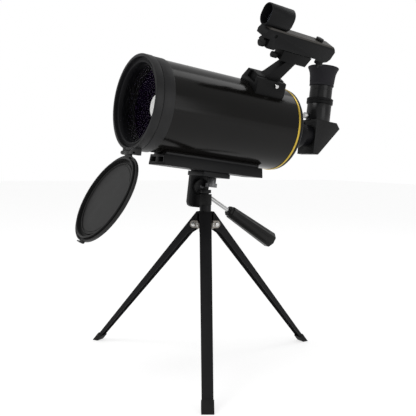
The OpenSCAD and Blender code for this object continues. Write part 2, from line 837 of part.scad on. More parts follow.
module leg_bracket() {
    ear_gap = leg_half_top + 0.4;
    ear = 2;
    ear_r = 4.8;
    ear_start = 3.2;
    color("silver") in_stand() difference() {
        union() {
            translate([0, 0, leg_pivot_height - ear_r]) cylinder(h = 2 * ear_r, r = 9.2);
            for (azimuth = leg_azimuths, side = [0, 1])
                rotate([0, 0, azimuth]) mirror([0, side, 0]) {
                    translate([ear_start, ear_gap, leg_pivot_height - ear_r])
                        cube([leg_pivot_r - ear_start, ear, 2 * ear_r]);
                    translate([leg_pivot_r, ear_gap, leg_pivot_height])
                        rotate([-90, 0, 0]) cylinder(h = ear, r = ear_r);
                }
        }
        translate([0, 0, post_low]) cylinder(h = 30, r = post_r);
        for (azimuth = leg_azimuths)
            rotate([0, 0, azimuth]) translate([leg_pivot_r, -20, leg_pivot_height])
                rotate([-90, 0, 0]) cylinder(h = 40, r = rivet_r);
    }
}

module leg_rivets() {
    reach = leg_half_top + 2.4;
    color("gainsboro") in_stand()
        for (azimuth = leg_azimuths)
            rotate([0, 0, azimuth]) translate([leg_pivot_r, 0, leg_pivot_height]) rotate([-90, 0, 0]) {
                translate([0, 0, -reach]) cylinder(h = 2 * reach, r = rivet_r);
                translate([0, 0, reach]) cylinder(h = 1.2, r1 = 3.4, r2 = 2.4);
                translate([0, 0, -reach - 1.2]) cylinder(h = 1.2, r1 = 2.4, r2 = 3.4);
            }
}

// Channel leg, open on its inner side, narrower and shallower towards the foot
module leg(index) {
    taper = (leg_half_top - leg_half_end) / (leg_top - leg_end);
    inner = leg_half_top - leg_sheet;
    color("#26262a") in_leg(index) difference() {
        intersection() {
            plate_y(-20, 20, [[leg_web, leg_top], [leg_web - leg_sheet, leg_top], [-1.5, 5], [-4.2, 2],
                [-4.2, -6], [-1, -16], [leg_lip_end, leg_end], [leg_web, leg_end]]);
            plate_x(-20, 20, [[-leg_half_top, leg_top], [leg_half_top, leg_top], [leg_half_end, leg_end],
                [-leg_half_end, leg_end]]);
        }
        plate_x(-20, leg_web - leg_sheet, [[-inner - taper, leg_top + 1], [inner + taper, leg_top + 1],
            [leg_half_end - leg_sheet, leg_end - 1], [leg_sheet - leg_half_end, leg_end - 1]]);
        translate([0, -20, 0]) rotate([-90, 0, 0]) cylinder(h = 40, r = rivet_r + fit_gap);
    }
}

module leg_front() leg(0);
module leg_rear() leg(1);
module leg_left() leg(2);

// Rubber boot round the leg's end, cut flat where it stands on the floor
module foot(index) {
    half = 6.9;
    color("#161616") intersection() {
        in_leg(index) difference() {
            plate_y(-half, half, [[leg_web + 1.2, -228], [leg_web + 1.2, -254], [leg_lip_end + 1.6, -252],
                [leg_lip_end - 1.3, -242], [leg_lip_end - 1.3, -228]]);
            intersection() {
                plate_y(-20, 20, [[leg_lip_end, leg_end], [leg_web, leg_end], [leg_web, -200],
                    [leg_lip_end - 1.1, -200]]);
                plate_x(-20, 20, [[-leg_half_end - 0.2, -200], [leg_half_end + 0.2, -200],
                    [leg_half_end, leg_end], [-leg_half_end, leg_end]]);
            }
        }
        translate([-250, -250, 0]) cube([500, 500, 100]);
    }
}

module foot_front() foot(0);
module foot_rear() foot(1);
module foot_left() foot(2);

front_ring();
corrector_retainer();
corrector_lens();
secondary_mirror();
secondary_baffle();
optical_tube();
gold_ring();
rear_cell();
baffle_tube();
visual_back();
tube_saddle();
dovetail_rail();
rail_screws();
finder_shoe();
primary_mirror();
mirror_carrier();
focus_shaft();
focus_knob();
front_cap();
cap_hinge_pin();
visual_back_screw();
diagonal_nose();
diagonal_housing();
diagonal_cover();
diagonal_prism();
eyepiece_holder();
holder_collar();
holder_screw();
eyepiece_barrel();
eyepiece_body();
eyecup();
eyepiece_lenses();
finder_bracket();
shoe_clamp_screw();
finder_block();
finder_body();
finder_cover();
sight_tube();
sight_window();
finder_switch();
azimuth_knob();
altitude_knob();
battery_cap();
head_platform();
platform_pad();
tilt_bolt();
camera_screw();
handle_rod();
handle_grip();
pan_head();
pan_collar();
centre_post();
leg_bracket();
leg_rivets();
leg_front();
leg_rear();
leg_left();
foot_front();
foot_rear();
foot_left();
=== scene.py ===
import math

import bmesh
import bpy
from mathutils import Matrix, Vector


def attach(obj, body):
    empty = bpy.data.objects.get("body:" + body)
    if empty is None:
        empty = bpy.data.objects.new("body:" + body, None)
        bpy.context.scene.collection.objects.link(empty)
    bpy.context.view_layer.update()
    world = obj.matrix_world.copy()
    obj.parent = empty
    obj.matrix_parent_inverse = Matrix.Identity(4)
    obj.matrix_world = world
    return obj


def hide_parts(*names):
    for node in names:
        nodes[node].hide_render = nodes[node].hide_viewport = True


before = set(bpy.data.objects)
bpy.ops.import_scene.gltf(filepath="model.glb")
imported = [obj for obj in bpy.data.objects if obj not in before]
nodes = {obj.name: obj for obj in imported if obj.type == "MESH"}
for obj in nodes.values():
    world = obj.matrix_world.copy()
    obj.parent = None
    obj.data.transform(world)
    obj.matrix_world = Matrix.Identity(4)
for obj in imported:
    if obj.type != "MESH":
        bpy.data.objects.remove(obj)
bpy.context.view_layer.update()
mm = 0.001

# Where the tube, the handle and the cap stand, in mm and degrees, the same as in the CAD model
layout = {
    "panAxis": (1.2, -24.5),
    "axisHeight": 318.6,
    "tubeTilt": 6.2,
    "tiltBack": 9.84,
    "tiltDrop": 90.6,
    "handleDrop": 24.9,
    "handleSide": -18.5,
    "handleBelow": 3.3,
    "hingeBack": -105.0,
    "hingeDrop": 60.5,
    "capOpen": 156.0,
}


# The camera, in mm and degrees
cameraSettings = {
    "azimuth": 56.92,
    "elevation": 4.5,
    "roll": 1.01,
    "distance": 791.9,
    "sideways": 3.47,
    "height": 200.46,
    "lens": 52.8,
    "sensorWidth": 36,
    "clipStart": 50,
}


def addCamera(settings):
    # Returns the directions towards the camera and to its right
    azimuth = math.radians(settings["azimuth"])
    elevation = math.radians(settings["elevation"])
    roll = math.radians(settings["roll"])
    back = Vector((math.sin(azimuth) * math.cos(elevation), -math.cos(azimuth) * math.cos(elevation),
                   math.sin(elevation)))
    right = Vector((math.cos(azimuth), math.sin(azimuth), 0))
    up = back.cross(right)
    place = (right * settings["sideways"] + back * settings["distance"]
             + Vector((*layout["panAxis"], settings["height"]))) * mm
    turnedRight = right * math.cos(roll) + up * math.sin(roll)
    turnedUp = up * math.cos(roll) - right * math.sin(roll)
    pose = Matrix((turnedRight, turnedUp, back)).transposed().to_4x4()
    pose.translation = place
    data = bpy.data.cameras.new("telescopeCamera")
    data.lens = settings["lens"]
    data.sensor_width = settings["sensorWidth"]
    data.clip_start = settings["clipStart"] * mm
    camera = bpy.data.objects.new("telescopeCamera", data)
    bpy.context.scene.collection.objects.link(camera)
    camera.matrix_world = pose
    bpy.context.scene.camera = camera
    return back, right


# The floor and the lights, in metres
studio = {
    "floorSize": 12,
    "floorHeight": -0.0004,
    "floorColor": (0.42, 0.42, 0.42, 1),
    "floorRoughness": 0.9,
    "floorGlow": 0.68,
    "worldColor": (1.0, 1.0, 1.0, 1),
    "backdropStrength": 1.0,
    "roomStrength": 0.6,
    "lightTarget": (0, 0, 0.24),
    # name, sideways, towards the camera, up, width, length, watts
    "panels": [
        ("keyPanel", -0.9, 0.5, 1.5, 0.9, 0.9, 9),
        ("rimPanel", 0.9, -0.6, 1.2, 0.5, 1.2, 3),
        ("fillPanel", 1.0, 1.0, 0.5, 0.8, 0.8, 3),
    ],
}


def addStudio(settings, back, right):
    bpy.ops.mesh.primitive_plane_add(size=settings["floorSize"],
                                     location=(0, 0, settings["floorHeight"]))
    floor = bpy.context.object
    floor.name = "studioFloor"
    paint = bpy.data.materials.new("floorPaint")
    paint.use_nodes = True
    shader = paint.node_tree.nodes["Principled BSDF"]
    shader.inputs["Base Color"].default_value = settings["floorColor"]
    shader.inputs["Roughness"].default_value = settings["floorRoughness"]
    shader.inputs["Emission Color"].default_value = settings["worldColor"]
    shader.inputs["Emission Strength"].default_value = settings["floorGlow"]
    floor.data.materials.append(paint)
    world = bpy.data.worlds.new("studioWorld")
    world.use_nodes = True
    sky = world.node_tree.nodes["Background"]
    sky.inputs["Color"].default_value = settings["worldColor"]
    # The backdrop is brighter to the camera than the room is to the object
    path = world.node_tree.nodes.new("ShaderNodeLightPath")
    strength = world.node_tree.nodes.new("ShaderNodeMapRange")
    strength.inputs["To Min"].default_value = settings["roomStrength"]
    strength.inputs["To Max"].default_value = settings["backdropStrength"]
    world.node_tree.links.new(path.outputs["Is Camera Ray"], strength.inputs["Value"])
    world.node_tree.links.new(strength.outputs["Result"], sky.inputs["Strength"])
    bpy.context.scene.world = world
    bpy.context.scene.view_settings.view_transform = "Standard"
    target = Vector(settings["lightTarget"])
    flatBack = Vector((back.x, back.y, 0)).normalized()
    for name, side, toward, up, width, length, watts in settings["panels"]:
        data = bpy.data.lights.new(name, "AREA")
        data.shape = "RECTANGLE"
        data.size = width
        data.size_y = length
        data.energy = watts
        light = bpy.data.objects.new(name, data)
        bpy.context.scene.collection.objects.link(light)
        light.location = right * side + flatBack * toward + Vector((0, 0, up))
        light.rotation_euler = (light.location - target).to_track_quat("Z", "Y").to_euler()
    print("camera, floor and light are set")


cameraBack, cameraRight = addCamera(cameraSettings)
addStudio(studio, cameraBack, cameraRight)


# What the finishes have in common
surfaceDetail = {
    "rampLow": 0.3, "rampHigh": 0.7, "driftDetail": 4, "grainDetail": 3, "bumpDepth": 0.0004,
    "smoothest": 0.02,
}
glassDetail = {"ior": 1.5, "facingBlend": 0.45, "cloudScale": 9}


def makeFinish(name, color, roughness, metallic=0.0, mottle=0.15, mottleScale=60.0, roughSpread=0.08,
               grain=0.0, grainScale=900.0, stretch=(1, 1, 1), coat=0.0, coatRough=0.05, specular=0.5):
    # A shader whose colour and roughness drift slightly, with a fine grain in its bump
    finish = bpy.data.materials.new(name)
    finish.use_nodes = True
    tree = finish.node_tree
    shader = tree.nodes["Principled BSDF"]
    shader.inputs["Metallic"].default_value = metallic
    shader.inputs["Coat Weight"].default_value = coat
    shader.inputs["Coat Roughness"].default_value = coatRough
    shader.inputs["Specular IOR Level"].default_value = specular
    place = tree.nodes.new("ShaderNodeTexCoord")
    mapping = tree.nodes.new("ShaderNodeMapping")
    mapping.inputs["Scale"].default_value = stretch
    tree.links.new(place.outputs["Object"], mapping.inputs["Vector"])
    drift = tree.nodes.new("ShaderNodeTexNoise")
    drift.inputs["Scale"].default_value = mottleScale
    drift.inputs["Detail"].default_value = surfaceDetail["driftDetail"]
    tree.links.new(mapping.outputs["Vector"], drift.inputs["Vector"])
    ramp = tree.nodes.new("ShaderNodeValToRGB")
    darkEnd, paleEnd = ramp.color_ramp.elements
    darkEnd.position = surfaceDetail["rampLow"]
    paleEnd.position = surfaceDetail["rampHigh"]
    darkEnd.color = [part * (1 - mottle) for part in color] + [1]
    paleEnd.color = [min(1, part * (1 + mottle)) for part in color] + [1]
    tree.links.new(drift.outputs["Fac"], ramp.inputs["Fac"])
    tree.links.new(ramp.outputs["Color"], shader.inputs["Base Color"])
    spread = tree.nodes.new("ShaderNodeMapRange")
    spread.inputs["To Min"].default_value = max(surfaceDetail["smoothest"], roughness - roughSpread)
    spread.inputs["To Max"].default_value = min(1, roughness + roughSpread)
    tree.links.new(drift.outputs["Fac"], spread.inputs["Value"])
    tree.links.new(spread.outputs["Result"], shader.inputs["Roughness"])
    if grain:
        fine = tree.nodes.new("ShaderNodeTexNoise")
        fine.inputs["Scale"].default_value = grainScale
        fine.inputs["Detail"].default_value = surfaceDetail["grainDetail"]
        tree.links.new(mapping.outputs["Vector"], fine.inputs["Vector"])
        bump = tree.nodes.new("ShaderNodeBump")
        bump.inputs["Strength"].default_value = grain
        bump.inputs["Distance"].default_value = surfaceDetail["bumpDepth"]
        tree.links.new(fine.outputs["Fac"], bump.inputs["Height"])
        tree.links.new(bump.outputs["Normal"], shader.inputs["Normal"])
    return finish


def makeGlass(name, color, tint, reflection, through, roughness=0.03, veil=1.0):
    # Coated glass with a coloured reflection that changes towards the rim
    # A low veil leaves a thin clear film
    finish = bpy.data.materials.new(name)
    finish.use_nodes = True
    tree = finish.node_tree
    shader = tree.nodes["Principled BSDF"]
    shader.inputs["Roughness"].default_value = roughness
    shader.inputs["IOR"].default_value = glassDetail["ior"]
    shader.inputs["Alpha"].default_value = veil
    shader.inputs["Transmission Weight"].default_value = through
    shader.inputs["Specular IOR Level"].default_value = reflection
    facing = tree.nodes.new("ShaderNodeLayerWeight")
    facing.inputs["Blend"].default_value = glassDetail["facingBlend"]
    ramp = tree.nodes.new("ShaderNodeValToRGB")
    ramp.color_ramp.elements[0].color = [*tint[0], 1]
    ramp.color_ramp.elements[1].color = [*tint[1], 1]
    tree.links.new(facing.outputs["Facing"], ramp.inputs["Fac"])
    tree.links.new(ramp.outputs["Color"], shader.inputs["Specular Tint"])
    place = tree.nodes.new("ShaderNodeTexCoord")
    cloud = tree.nodes.new("ShaderNodeTexNoise")
    cloud.inputs["Scale"].default_value = glassDetail["cloudScale"]
    tree.links.new(place.outputs["Object"], cloud.inputs["Vector"])
    shade = tree.nodes.new("ShaderNodeValToRGB")
    shade.color_ramp.elements[0].color = [*color[0], 1]
    shade.color_ramp.elements[1].color = [*color[1], 1]
    tree.links.new(cloud.outputs["Fac"], shade.inputs["Fac"])
    tree.links.new(shade.outputs["Color"], shader.inputs["Base Color"])
    return finish


finishLooks = {
    "tubeEnamel": dict(color=(0.0034, 0.0031, 0.0028), roughness=0.16, mottle=0.1, mottleScale=25,
                       roughSpread=0.03, grain=0.03, grainScale=220, specular=0.18),
    "ringAnodised": dict(color=(0.013, 0.013, 0.0135), roughness=0.38, mottle=0.12, grain=0.12,
                         grainScale=1600, specular=0.2),
    "retainerAnodised": dict(color=(0.004, 0.004, 0.005), roughness=0.42, mottle=0.12, grain=0.1,
                             grainScale=1600, specular=0.1),
    "baffleFlock": dict(color=(0.003, 0.003, 0.003), roughness=0.85, grain=0.03, grainScale=2500,
                        specular=0.05),
    # The lining is the tube's black inside, tinted purple as a painted reflection of the lens coating
    "liningPaintedReflection": dict(color=(0.013, 0.007, 0.025), roughness=0.8, mottle=0.1, mottleScale=12,
                        specular=0.05),
    "goldTrim": dict(color=(0.52, 0.37, 0.06), roughness=0.28, metallic=1.0, mottle=0.08,
                     mottleScale=200, grain=0.05, grainScale=1500),
    "railAnodised": dict(color=(0.006, 0.006, 0.0065), roughness=0.42, mottle=0.12, grain=0.15,
                         grainScale=1200, stretch=(1, 0.08, 1), specular=0.16),
    "brightSteel": dict(color=(0.55, 0.55, 0.54), roughness=0.22, metallic=1.0, mottle=0.06,
                        mottleScale=300, grain=0.05, grainScale=1800),
    "darkSteel": dict(color=(0.05, 0.05, 0.052), roughness=0.3, metallic=1.0, mottle=0.1,
                      mottleScale=300, grain=0.05, grainScale=1800),
    "mouldedBlack": dict(color=(0.004, 0.004, 0.0042), roughness=0.46, mottle=0.12, grain=0.25,
                         grainScale=1700, specular=0.11),
    "finderShell": dict(color=(0.0045, 0.0046, 0.005), roughness=0.48, mottle=0.1, grain=0.22,
                        grainScale=1900, specular=0.13),
    "finderStrip": dict(color=(0.05, 0.046, 0.042), roughness=0.5, mottle=0.08, grain=0.15,
                        grainScale=1900, specular=0.2),
    "knobPlastic": dict(color=(0.007, 0.007, 0.007), roughness=0.45, mottle=0.15, grain=0.2,
                        grainScale=1500, specular=0.15),
    "diagonalPaint": dict(color=(0.008, 0.008, 0.0083), roughness=0.4, mottle=0.1, grain=0.3,
                          grainScale=2200, specular=0.17),
    "barrelAnodised": dict(color=(0.008, 0.008, 0.0083), roughness=0.24, mottle=0.1,
                           mottleScale=120, grain=0.06, grainScale=1500, specular=0.24),
    "chromePlate": dict(color=(0.52, 0.52, 0.52), roughness=0.2, metallic=1.0, mottle=0.04,
                        mottleScale=150, roughSpread=0.04),
    "softRubber": dict(color=(0.0125, 0.012, 0.0145), roughness=0.62, mottle=0.2, grain=0.3,
                       grainScale=1300, specular=0.14),
    "gripPlastic": dict(color=(0.0055, 0.0055, 0.005), roughness=0.34, mottle=0.15, grain=0.12,
                        grainScale=1400, specular=0.18),
    "headCasting": dict(color=(0.0065, 0.0065, 0.007), roughness=0.42, mottle=0.15, grain=0.35,
                        grainScale=1500, specular=0.16),
    "wheelSteel": dict(color=(0.16, 0.16, 0.165), roughness=0.3, metallic=1.0, mottle=0.2,
                       grain=0.1, grainScale=1500),
    "zincCasting": dict(color=(0.22, 0.205, 0.185), roughness=0.33, metallic=1.0, mottle=0.12,
                        mottleScale=180, grain=0.2, grainScale=900),
    "legPaint": dict(color=(0.0115, 0.0115, 0.0122), roughness=0.52, mottle=0.12, mottleScale=40,
                     grain=0.1, grainScale=1500, stretch=(1, 1, 0.3), specular=0.08),
    "footRubber": dict(color=(0.011, 0.011, 0.011), roughness=0.6, mottle=0.2, grain=0.3,
                       grainScale=1400, specular=0.12),
    "capPlastic": dict(color=(0.013, 0.013, 0.013), roughness=0.42, mottle=0.1, grain=0.15,
                       grainScale=1500, specular=0.2),
    "mirrorCoat": dict(color=(0.9, 0.91, 0.93), roughness=0.05, metallic=1.0, mottle=0.02,
                       roughSpread=0.02),
    "spotCoat": dict(color=(0.97, 0.97, 0.95), roughness=0.4, mottle=0.02, roughSpread=0.02),
}
glassLooks = {
    # The lens's faint purple base colour is a painted reflection of its coating
    "lensCoating": dict(color=[(0.002, 0.001, 0.004), (0.004, 0.001, 0.006)],
                        tint=[(0.16, 0.24, 0.45), (0.7, 0.25, 0.95)], reflection=0.5, through=0.0,
                        veil=0.06),
    "clearGlass": dict(color=[(0.5, 0.56, 0.65), (0.6, 0.6, 0.7)],
                       tint=[(0.6, 0.5, 0.9), (0.9, 0.5, 0.5)], reflection=0.3, through=0.9),
}
finishes = {name: makeFinish(name, **look) for name, look in finishLooks.items()}
finishes.update({name: makeGlass(name, **look) for name, look in glassLooks.items()})

finishOfNodes = {
    "tubeEnamel": ["optical_tube"],
    "ringAnodised": ["front_ring", "rear_cell", "visual_back", "tube_saddle"],
    "retainerAnodised": ["corrector_retainer"],
    "baffleFlock": ["secondary_baffle", "baffle_tube", "mirror_carrier"],
    "goldTrim": ["gold_ring"],
    "railAnodised": ["dovetail_rail"],
    "brightSteel": ["rail_screws", "cap_hinge_pin", "focus_shaft", "visual_back_screw", "holder_screw",
                    "shoe_clamp_screw", "leg_rivets"],
    "darkSteel": ["tilt_bolt"],
    "mouldedBlack": ["finder_shoe", "finder_bracket", "finder_block", "diagonal_housing",
                     "diagonal_cover"],
    "capPlastic": ["front_cap"],
    "finderShell": ["finder_body", "sight_tube"],
    "finderStrip": ["finder_cover"],
    "knobPlastic": ["focus_knob", "finder_switch", "azimuth_knob", "altitude_knob", "battery_cap",
                    "pan_collar"],
    "barrelAnodised": ["diagonal_nose", "eyepiece_holder", "eyepiece_body", "holder_collar"],
    "chromePlate": ["eyepiece_barrel", "handle_rod"],
    "softRubber": ["eyecup", "platform_pad"],
    "gripPlastic": ["handle_grip"],
    "headCasting": ["head_platform", "pan_head", "centre_post"],
    "wheelSteel": ["camera_screw"],
    "zincCasting": ["leg_bracket"],
    "legPaint": ["leg_front", "leg_rear", "leg_left"],
    "footRubber": ["foot_front", "foot_rear", "foot_left"],
    "mirrorCoat": ["primary_mirror"],
    "spotCoat": ["secondary_mirror"],
    "lensCoating": ["corrector_lens"],
    "clearGlass": ["eyepiece_lenses", "diagonal_prism", "sight_window"],
}


def setFinish(piece, finishName):
    if not piece.data.materials:
        piece.data.materials.append(None)
    for index in range(len(piece.data.materials)):
        piece.data.materials[index] = finishes[finishName]


for finishName, names in finishOfNodes.items():
    for nodeName in names:
        setFinish(nodes[nodeName], finishName)
print("finishes are on the CAD parts")


# Tolerances and defaults of the tools that shape a piece
toolSettings = {
    "crease": 32,  # degrees: a sharper edge is rounded and stays sharp in the shading
    "touching": 1e-6, "cadTouching": 2e-6, "flatWithin": 0.6, "turnSteps": 160,
}


def move(x, y, z):
    return Matrix.Translation((x * mm, y * mm, z * mm))


def turn(degrees, axis):
    return Matrix.Rotation(math.radians(degrees), 4, axis)


tubePose = move(*layout["panAxis"], layout["axisHeight"]) @ turn(-layout["tubeTilt"], "X")
lathePose = tubePose @ turn(-90, "X")  # a shape turned about Z lies along the tube
capPose = tubePose @ move(0, layout["hingeBack"], -layout["hingeDrop"]) @ turn(layout["capOpen"], "X")
boltPose = tubePose @ move(0, layout["tiltBack"], -layout["tiltDrop"])
handlePose = (boltPose @ move(layout["handleSide"], 0, -layout["handleBelow"])
              @ turn(-layout["handleDrop"] - 90, "X"))  # its Z runs out along the rod


def letGo():
    if bpy.context.object and bpy.context.object.mode != "OBJECT":
        bpy.ops.object.mode_set(mode="OBJECT")
    bpy.ops.object.select_all(action="DESELECT")


def takeUp(piece):
    letGo()
    piece.select_set(True)
    bpy.context.view_layer.objects.active = piece


def openMesh(piece):
    takeUp(piece)
    bpy.ops.object.mode_set(mode="EDIT")
    bpy.ops.mesh.select_all(action="SELECT")


def closeMesh():
    bpy.ops.object.mode_set(mode="OBJECT")


def applyPose(piece, pose):
    takeUp(piece)
    piece.matrix_world = pose @ piece.matrix_world
    bpy.ops.object.transform_apply(location=True, rotation=True, scale=True)


def roundEdges(piece, width, segments=2, angle=toolSettings["crease"]):
    takeUp(piece)
    edges = piece.modifiers.new("roundedEdges", "BEVEL")
    edges.width = width * mm
    edges.segments = segments
    edges.limit_method = "ANGLE"
    edges.angle_limit = math.radians(angle)
    bpy.ops.object.modifier_apply(modifier=edges.name)


def shade(piece, angle=toolSettings["crease"]):
    takeUp(piece)
    bpy.ops.object.shade_smooth_by_angle(angle=math.radians(angle))


def turned(name, profile, steps=toolSettings["turnSteps"]):
    # Profile points are (radius, along) in mm. A circle is extruded and resized from ring to ring
    letGo()
    startPole = profile[0] if profile[0][0] == 0 else None
    if startPole:
        profile = profile[1:]
    bpy.ops.mesh.primitive_circle_add(vertices=steps, radius=profile[0][0] * mm)
    piece = bpy.context.object
    piece.name = name
    openMesh(piece)
    bpy.ops.transform.translate(value=(0, 0, profile[0][1] * mm))
    for (radius, along), (nextRadius, nextAlong) in zip(profile, profile[1:]):
        bpy.ops.mesh.extrude_edges_move(
            TRANSFORM_OT_translate={"value": (0, 0, (nextAlong - along) * mm)})
        if nextRadius == 0:
            bpy.ops.mesh.merge(type="CENTER")
        elif nextRadius != radius:
            scale = nextRadius / radius
            bpy.ops.transform.resize(value=(scale, scale, 1), center_override=(0, 0, 0))
    if startPole:
        firstRadius, firstAlong = (value * mm for value in profile[0])
        close = toolSettings["touching"]
        selectWhere(piece, lambda p: abs(p.z - firstAlong) < close
                    and abs(math.hypot(p.x, p.y) - firstRadius) < close)
        bpy.ops.mesh.extrude_edges_move(
            TRANSFORM_OT_translate={"value": (0, 0, (startPole[1] - profile[0][1]) * mm)})
        bpy.ops.mesh.merge(type="CENTER")
    bpy.ops.mesh.select_all(action="SELECT")
    bpy.ops.mesh.remove_doubles(threshold=toolSettings["touching"])
    bpy.ops.mesh.normals_make_consistent(inside=False)
    closeMesh()
    return piece


def selectWhere(piece, test):
    bpy.ops.mesh.select_mode(type="VERT")
    bpy.ops.mesh.select_all(action="DESELECT")
    mesh = bmesh.from_edit_mesh(piece.data)
    for vertex in mesh.verts:
        vertex.select = test(vertex.co)
    mesh.select_flush(True)
    bmesh.update_edit_mesh(piece.data)


def plate(name, outline, low, high, axis="X"):
    # An outline in mm, filled and extruded along one axis
    letGo()
    bpy.ops.mesh.primitive_circle_add(vertices=len(outline), radius=1, fill_type="NGON")
    piece = bpy.context.object
    piece.name = name
    openMesh(piece)
    mesh = bmesh.from_edit_mesh(piece.data)
    mesh.verts.ensure_lookup_table()
    for vertex, (first, second) in zip(mesh.verts, outline):
        spot = {"X": (low, first, second), "Y": (first, low, second), "Z": (first, second, low)}[axis]
        vertex.co = Vector(spot) * mm
    bmesh.update_edit_mesh(piece.data)
    rise = Vector([high - low if letter == axis else 0 for letter in "XYZ"]) * mm
    bpy.ops.mesh.extrude_region_move(TRANSFORM_OT_translate={"value": rise})
    bpy.ops.mesh.select_all(action="SELECT")
    bpy.ops.mesh.normals_make_consistent(inside=False)
    closeMesh()
    return piece


def softened(nodeName, name, width, merge=True):
    # A copy of a CAD part with its edges rounded, and its flats merged first unless merge is off
    letGo()
    piece = bpy.data.objects.new(name, nodes[nodeName].data.copy())
    bpy.context.scene.collection.objects.link(piece)
    takeUp(piece)
    bpy.ops.mesh.customdata_custom_splitnormals_clear()
    openMesh(piece)
    bpy.ops.mesh.remove_doubles(threshold=toolSettings["cadTouching"])
    if merge:
        bpy.ops.mesh.dissolve_limited(angle_limit=math.radians(toolSettings["flatWithin"]))
    closeMesh()
    roundEdges(piece, width)
    return piece


def joinInto(piece, others):
    takeUp(piece)
    for other in others:
        other.select_set(True)
    bpy.ops.object.join()
    return piece


def hand(piece, pose, body, finishName, replaced=(), smooth=toolSettings["crease"]):
    # Puts a finished piece in its place and on its body, in place of the CAD parts it stands for
    if pose is not None:
        applyPose(piece, pose)
    shade(piece, smooth)
    setFinish(piece, finishName)
    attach(piece, body)
    if replaced:
        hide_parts(*replaced)
    return piece


# The tube and its gold trim, along Z until lathePose lays them down
tubeShape = {"radius": 56.0, "wall": 1.5, "start": -98.0, "end": 107.0, "steps": 256}
trimShape = {"radius": 56.6, "length": 3.0, "edge": 0.35}


def buildTube(shape, trim):
    radius, inner = shape["radius"], shape["radius"] - shape["wall"]
    start, end = shape["start"], shape["end"]
    tube = turned("opticalTube", [(radius, start), (radius, end), (inner, end), (inner, start),
                                  (radius, start)], shape["steps"])
    hand(tube, lathePose, "telescope", "tubeEnamel", ["optical_tube"])
    buildFrontRing(ringShape, radius, inner, start)
    buildRetainer(retainerShape)
    gold, goldEnd, edge = trim["radius"], end + trim["length"], trim["edge"]
    bright = turned("goldTrim", [
        (inner, end), (gold - edge, end), (gold - 0.1, end + 0.12), (gold, end + 0.4),
        (gold, goldEnd - 0.4), (gold - 0.1, goldEnd - 0.12), (gold - edge, goldEnd), (inner, goldEnd),
        (inner, end)], shape["steps"])
    hand(bright, lathePose, "telescope", "goldTrim", ["gold_ring"])
    print("tube, front ring and trim are made")


# The front ring, with the lens seat inside it and two hinge lugs below
ringShape = {
    "front": -105.0, "back": -80.0, "radius": 57.7, "edge": 0.9, "mouth": 54.2, "mouthEdge": 0.5,
    "stepAt": -95.4, "stepRadius": 57.1, "grooveDepth": 1.2, "grooveWidth": 0.9, "tubeGap": 0.05,
    "seatAt": -81.5, "seatWall": 2.5, "seatBore": 46.6, "lensBore": 50.2, "mouthDepth": 5.0,
    "lugInner": 8.0, "lugWidth": 8.0, "lugDepth": 10.0, "lugHeight": 6.5, "lugRounding": 0.35,
    "knuckle": 2.5, "knuckleStep": 15, "steps": 256,
}


def hingeLug(shape, low):
    # One hinge lug: a block with a round knuckle on its front edge
    pin, front, knuckle = -layout["hingeDrop"], layout["hingeBack"], shape["knuckle"]
    angles = [math.radians(degrees) for degrees in range(90, 271, shape["knuckleStep"])]
    outline = [(front + knuckle * math.cos(angle), pin + knuckle * math.sin(angle))
               for angle in angles]
    back, top = front + shape["lugDepth"], pin + shape["lugHeight"]
    lug = plate("hingeLug", outline + [(back, pin - knuckle), (back, top), (front, top)],
                low, low + shape["lugWidth"])
    roundEdges(lug, shape["lugRounding"])
    return lug


def buildFrontRing(shape, tubeRadius, tubeInner, tubeStart):
    # Its outside has a groove at the step, and its inside has a seat that the lens lies on
    front, back, seat, stepAt = shape["front"], shape["back"], shape["seatAt"], shape["stepAt"]
    outer, edge, step = shape["radius"], shape["edge"], shape["stepRadius"]
    mouth, mouthEdge, mouthEnd = shape["mouth"], shape["mouthEdge"], front + shape["mouthDepth"]
    groove, grooveEnd = outer - shape["grooveDepth"], stepAt + shape["grooveWidth"]
    sleeve, seatEnd = tubeRadius + shape["tubeGap"], seat + shape["seatWall"]
    ring = turned("frontRing", [
        (mouth, front + mouthEdge), (mouth + mouthEdge, front), (outer - edge, front),
        (outer - 0.3, front + 0.25), (outer, front + edge), (outer, stepAt - 0.4),
        (outer - 0.2, stepAt - 0.1), (groove, stepAt), (groove, grooveEnd),
        (step - 0.15, grooveEnd + 0.1), (step, grooveEnd + 0.4), (step, back - 0.5), (step - 0.4, back),
        (sleeve, back), (sleeve, tubeStart), (tubeInner, tubeStart), (tubeInner, seatEnd),
        (shape["seatBore"], seatEnd), (shape["seatBore"], seat), (shape["lensBore"], seat),
        (shape["lensBore"], mouthEnd), (mouth, mouthEnd), (mouth, front + mouthEdge)], shape["steps"])
    applyPose(ring, turn(-90, "X"))
    lugs = [hingeLug(shape, shape["lugInner"]), hingeLug(shape, -shape["lugInner"] - shape["lugWidth"])]
    ring = joinInto(ring, lugs)
    hand(ring, tubePose, "telescope", "ringAnodised", ["front_ring"])


# The ring that holds the lens on its seat
retainerShape = {
    "bore": 46.0, "front": -91.0, "flare": 6.0, "flangeAt": -101.5, "flangeEnd": -100.0,
    "shoulder": 50.2, "radius": 54.18, "grooves": 4, "grooveStart": 1.0, "groovePitch": 1.3,
    "grooveDepth": 0.35, "grooveWidth": 0.9, "grooveTaper": 0.15, "channelIn": 50.4,
    "channelOut": 51.4, "channelDepth": 0.4, "steps": 256,
}


